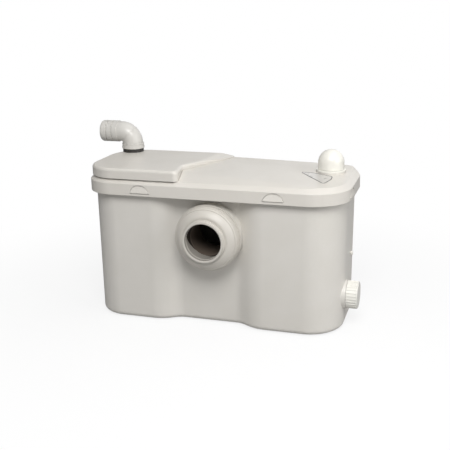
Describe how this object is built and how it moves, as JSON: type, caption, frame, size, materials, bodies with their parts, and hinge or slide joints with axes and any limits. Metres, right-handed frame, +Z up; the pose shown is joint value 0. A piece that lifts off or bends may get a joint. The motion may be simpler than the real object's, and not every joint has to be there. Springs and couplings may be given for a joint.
{
  "type": "macerator toilet pump",
  "caption": "Floor-standing macerator pump for a toilet: wavy-fronted tank, clip-on lid, ridged inlet collar, swivelling discharge elbow, domed vent and capped side inlet.",
  "frame": {"origin": "centre of the tank's underside, on the floor", "axes": "+X along the tank towards the side inlet, +Y to the back, +Z up"},
  "size_m": [0.4825, 0.212, 0.32],
  "materials": {
    "body_plastic": "pale warm grey moulded plastic, satin with a slight orange peel",
    "lid_plastic": "pale warm grey moulded plastic, satin",
    "collar_plastic": "pale warm grey moulded plastic, smooth",
    "elbow_plastic": "off-white moulded plastic, slightly glossy",
    "dome_plastic": "ivory white moulded plastic",
    "cap_plastic": "off-white moulded plastic",
    "label_film": "bare pale film label with a thin grey edge",
    "inner_plastic": "mid grey moulded plastic",
    "pump_plastic": "black glass-filled plastic",
    "switch_plastic": "black moulded plastic",
    "gland_plastic": "pale grey nylon",
    "seal_rubber": "black rubber",
    "pad_rubber": "dark grey rubber",
    "coupler_rubber": "black moulded rubber",
    "bright_steel": "stainless steel",
    "lamination_steel": "stacked sheet steel",
    "winding_copper": "enamelled copper winding",
    "motor_paint": "dark grey painted steel can",
    "motor_alloy": "cast aluminium",
    "filter_foam": "black carbon foam",
    "capacitor_case": "white capacitor case"
  },
  "bodies": {
    "tank": {"tank": "body_plastic", "base_pads": "pad_rubber", "rim_gasket": "seal_rubber", "inner_cover": "inner_plastic", "cover_screws": "bright_steel", "inlet_collar": "collar_plastic", "inlet_sleeve": "collar_plastic", "inlet_seal": "seal_rubber", "side_spigot": "collar_plastic", "side_flap_pin": "bright_steel", "side_plug": "cap_plastic", "macerator_basket": "pump_plastic", "pump_volute": "pump_plastic", "suction_plate": "pump_plastic", "pump_screws": "bright_steel", "stator_core": "lamination_steel", "stator_coils": "winding_copper", "upper_bearing": "bright_steel", "lower_bearing": "bright_steel", "motor_can": "motor_paint", "motor_bracket": "motor_alloy", "shaft_seal": "seal_rubber", "tie_bolts": "bright_steel", "discharge_pipe": "pump_plastic", "riser_grommet": "seal_rubber", "air_bell": "pump_plastic", "pressure_switch": "switch_plastic", "capacitor": "capacitor_case", "capacitor_saddle": "inner_plastic", "terminal_block": "switch_plastic", "cable_gland": "gland_plastic", "gland_nut": "gland_plastic"},
    "rotor": {"rotor_shaft": "bright_steel", "rotor_core": "lamination_steel", "impeller": "pump_plastic", "impeller_nut": "bright_steel", "cutter": "bright_steel"},
    "plunger": {"switch_plunger": "switch_plastic"},
    "side_flap": {"side_flap": "seal_rubber"},
    "side_washer": {"side_seal": "seal_rubber"},
    "side_cap": {"side_cap": "cap_plastic"},
    "lid": {"lid": "lid_plastic", "label_plate": "label_film", "vent_seat": "dome_plastic", "carbon_filter": "filter_foam"},
    "vent_disc": {"vent_diaphragm": "seal_rubber"},
    "vent_cap": {"dome_cap": "dome_plastic"},
    "service_cover": {"service_cover": "lid_plastic", "valve_body": "elbow_plastic", "valve_pin": "bright_steel", "rubber_coupler": "coupler_rubber"},
    "valve_flap": {"valve_flap": "seal_rubber"},
    "elbow": {"discharge_elbow": "elbow_plastic"},
    "tab_front_left": {"tab_front_left": "lid_plastic"},
    "tab_front_right": {"tab_front_right": "lid_plastic"},
    "tab_right": {"tab_right": "lid_plastic"},
    "tab_back_right": {"tab_back_right": "lid_plastic"},
    "tab_back_left": {"tab_back_left": "lid_plastic"},
    "tab_left": {"tab_left": "lid_plastic"}
  },
  "joints": [
    {"name": "rotor_spin", "type": "hinge", "parent": "tank", "child": "rotor", "pos_m": [0.066, 0, 0.118], "axis": [0, 0, 1], "continuous": true},
    {"name": "plunger_travel", "type": "slide", "parent": "tank", "child": "plunger", "axis": [0, 0, 1], "range_m": [0, 0.002], "stiffness_N_per_m": 400},
    {"name": "side_flap_swing", "type": "hinge", "parent": "tank", "child": "side_flap", "pos_m": [0.1933, -0.015, 0.0758], "axis": [0, 1, 0], "range_deg": [0, 60]},
    {"name": "side_washer_slide", "type": "slide", "parent": "tank", "child": "side_washer", "axis": [1, 0, 0], "range_m": [0, 0.0121]},
    {"name": "side_cap_turn", "type": "hinge", "parent": "side_washer", "child": "side_cap", "pos_m": [0.22, -0.015, 0.057], "axis": [1, 0, 0], "range_deg": [0, 1080]},
    {"name": "lid_lift", "type": "slide", "parent": "tank", "child": "lid", "axis": [0, 0, 1], "range_m": [0, 0.2]},
    {"name": "vent_disc_lift", "type": "slide", "parent": "lid", "child": "vent_disc", "axis": [0, 0, 1], "range_m": [0, 0.0025]},
    {"name": "vent_cap_lift", "type": "slide", "parent": "lid", "child": "vent_cap", "axis": [0, 0, 1], "range_m": [0, 0.03]},
    {"name": "service_cover_lift", "type": "slide", "parent": "lid", "child": "service_cover", "axis": [0, 0, 1], "range_m": [0, 0.08]},
    {"name": "valve_flap_swing", "type": "hinge", "parent": "service_cover", "child": "valve_flap", "pos_m": [-0.183, 0.062, 0.2484], "axis": [0, 1, 0], "range_deg": [0, 55]},
    {"name": "elbow_turn", "type": "hinge", "parent": "service_cover", "child": "elbow", "pos_m": [-0.193, 0.062, 0.276], "axis": [0, 0, 1], "range_deg": [-180, 180]},
    {"name": "tab_front_left_press", "type": "hinge", "parent": "lid", "child": "tab_front_left", "pos_m": [-0.12, -0.0887, 0.2266], "axis": [-1, 0, 0], "range_deg": [0, 4], "stiffness_Nm_per_rad": 0.2},
    {"name": "tab_front_right_press", "type": "hinge", "parent": "lid", "child": "tab_front_right", "pos_m": [0.104, -0.0887, 0.2266], "axis": [-1, 0, 0], "range_deg": [0, 4], "stiffness_Nm_per_rad": 0.2},
    {"name": "tab_right_press", "type": "hinge", "parent": "lid", "child": "tab_right", "pos_m": [0.2187, -0.022, 0.2266], "axis": [0, -1, 0], "range_deg": [0, 4], "stiffness_Nm_per_rad": 0.2},
    {"name": "tab_back_right_press", "type": "hinge", "parent": "lid", "child": "tab_back_right", "pos_m": [0.104, 0.0887, 0.2266], "axis": [1, 0, 0], "range_deg": [0, 4], "stiffness_Nm_per_rad": 0.2},
    {"name": "tab_back_left_press", "type": "hinge", "parent": "lid", "child": "tab_back_left", "pos_m": [-0.12, 0.0887, 0.2266], "axis": [1, 0, 0], "range_deg": [0, 4], "stiffness_Nm_per_rad": 0.2},
    {"name": "tab_left_press", "type": "hinge", "parent": "lid", "child": "tab_left", "pos_m": [-0.2257, -0.022, 0.2266], "axis": [0, 1, 0], "range_deg": [0, 4], "stiffness_Nm_per_rad": 0.2}
  ],
  "couplings": [
    {"joint": "side_washer_slide", "follows": "side_cap_turn", "m_per_rad": 0.00063662}
  ]
}
